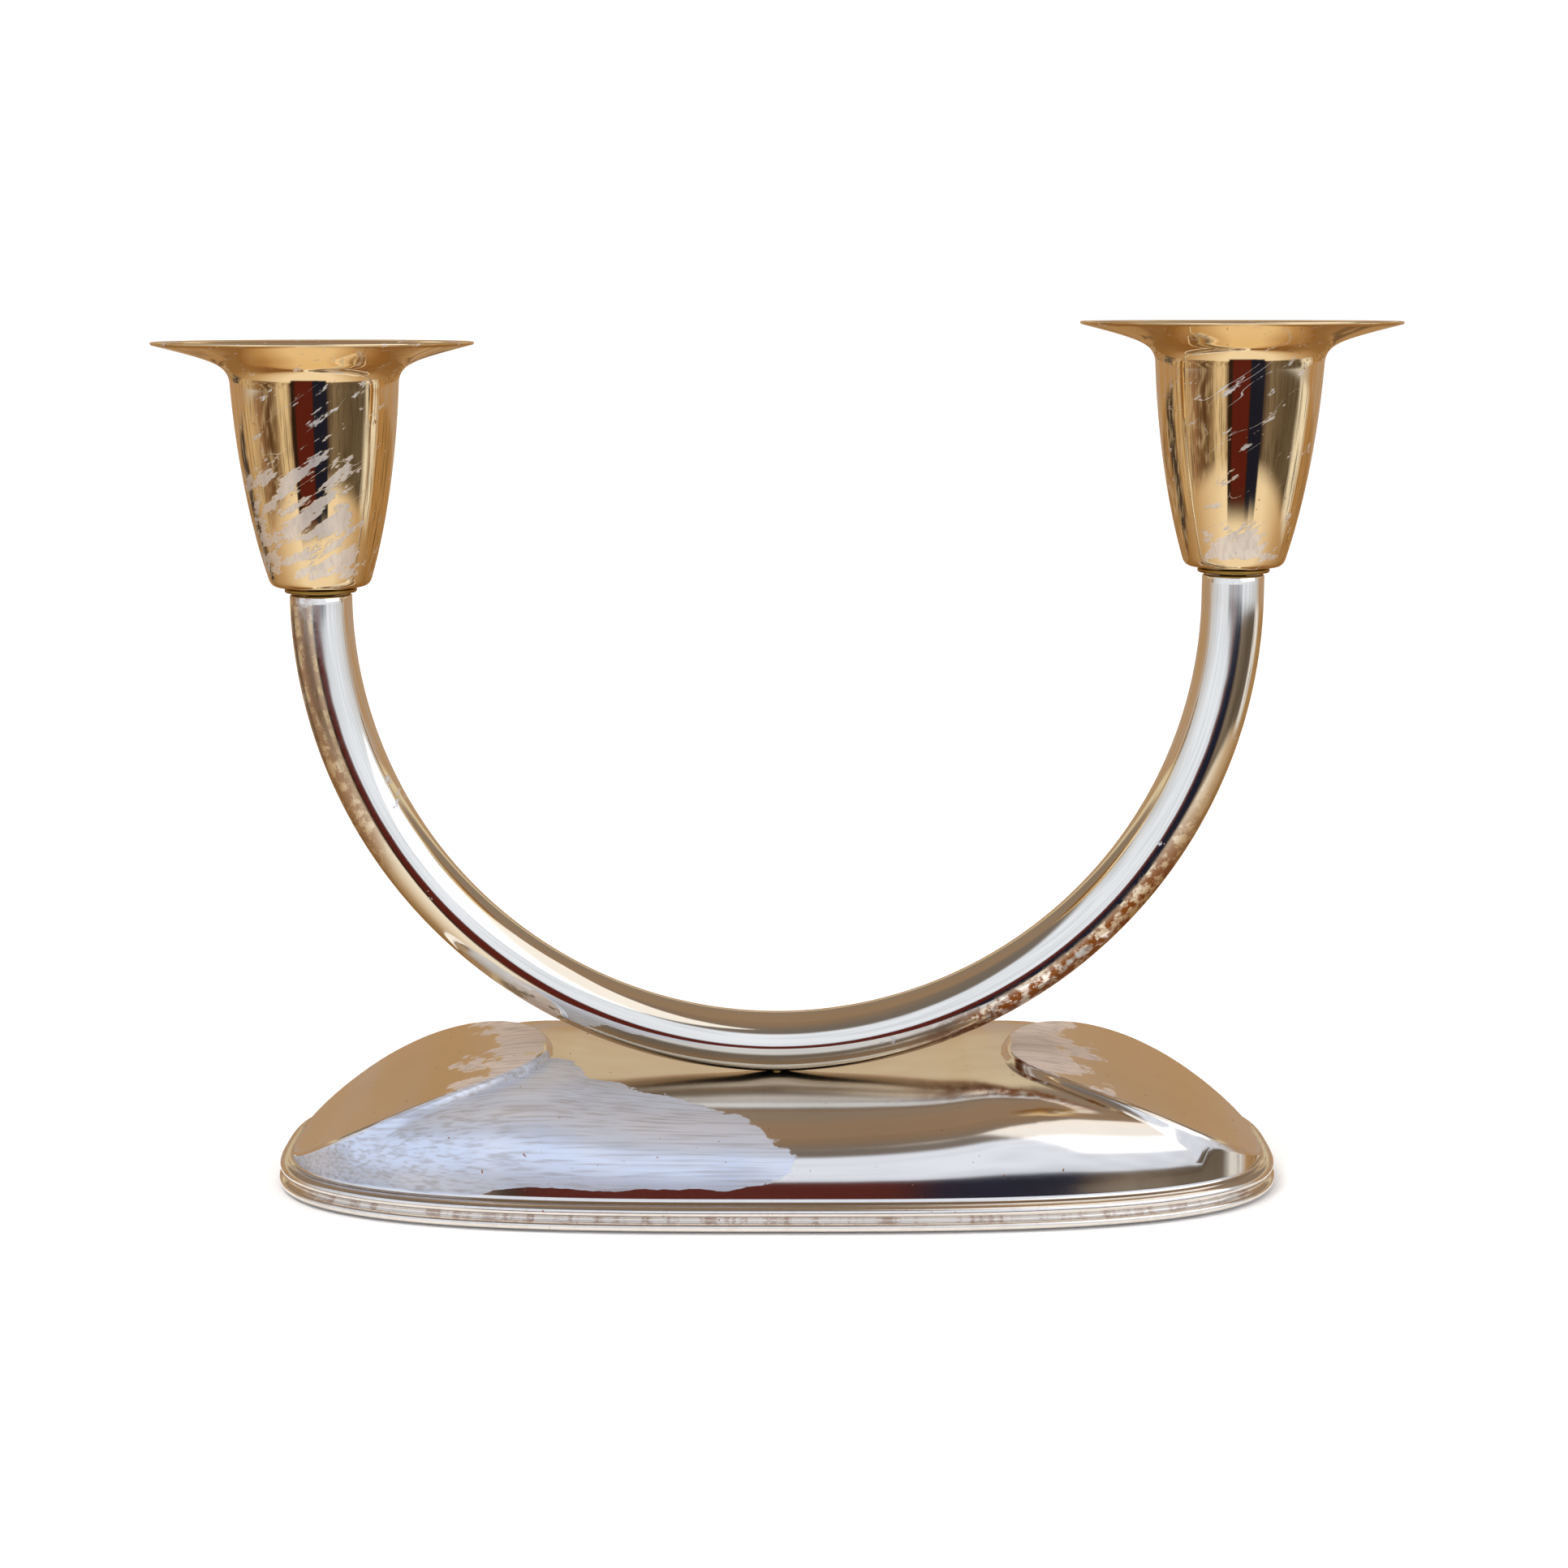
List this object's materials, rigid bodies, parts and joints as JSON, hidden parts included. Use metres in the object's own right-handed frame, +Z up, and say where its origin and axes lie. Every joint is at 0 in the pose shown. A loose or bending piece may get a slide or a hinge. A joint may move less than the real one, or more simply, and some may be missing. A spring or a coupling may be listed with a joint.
{
  "type": "two-light candlestick",
  "caption": "Low silver-plated candlestick: boat-shaped base, half-circle tube arm and a flared candle cup with drip pan on each end.",
  "frame": {"origin": "on the table, under the middle of the base", "axes": "+X along the base from one candle to the other, +Y away from the front, +Z up"},
  "size_m": [0.1888, 0.067, 0.133],
  "materials": {
    "silver_plate": "polished silver plate, brushed where the lacquer has worn off",
    "lacquered_plate": "silver plate under yellowed glossy lacquer, worn in patches",
    "brass": "turned, unplated",
    "steel": "plain rolled sheet",
    "cast_iron": "rough casting",
    "felt": "pressed wool felt"
  },
  "bodies": {
    "stand": {"base_shell": "silver_plate", "ballast_block": "cast_iron", "bottom_plate": "steel", "felt_pad": "felt", "arm_tube": "silver_plate", "arm_stud": "brass", "arm_washer": "steel", "arm_nut": "brass", "left_end_plug": "brass", "right_end_plug": "brass"},
    "left_collar": {"left_collar_ring": "brass"},
    "left_cup": {"left_candle_cup": "lacquered_plate", "left_cup_stud": "brass"},
    "right_collar": {"right_collar_ring": "brass"},
    "right_cup": {"right_candle_cup": "lacquered_plate", "right_cup_stud": "brass"}
  },
  "joints": [
    {"name": "left_cup_lift", "type": "slide", "parent": "stand", "child": "left_collar", "axis": [0, 0, 1], "range_m": [0, 0.0032]},
    {"name": "left_cup_turn", "type": "hinge", "parent": "left_collar", "child": "left_cup", "pos_m": [-0.0702, 0, 0.09275], "axis": [0, 0, 1], "range_deg": [0, 1440]},
    {"name": "right_cup_lift", "type": "slide", "parent": "stand", "child": "right_collar", "axis": [0, 0, 1], "range_m": [0, 0.0032]},
    {"name": "right_cup_turn", "type": "hinge", "parent": "right_collar", "child": "right_cup", "pos_m": [0.0702, 0, 0.09585], "axis": [0, 0, 1], "range_deg": [0, 1440]}
  ],
  "couplings": [
    {"joint": "left_cup_turn", "follows": "left_cup_lift", "rad_per_m": 7854},
    {"joint": "right_cup_turn", "follows": "right_cup_lift", "rad_per_m": 7854}
  ]
}
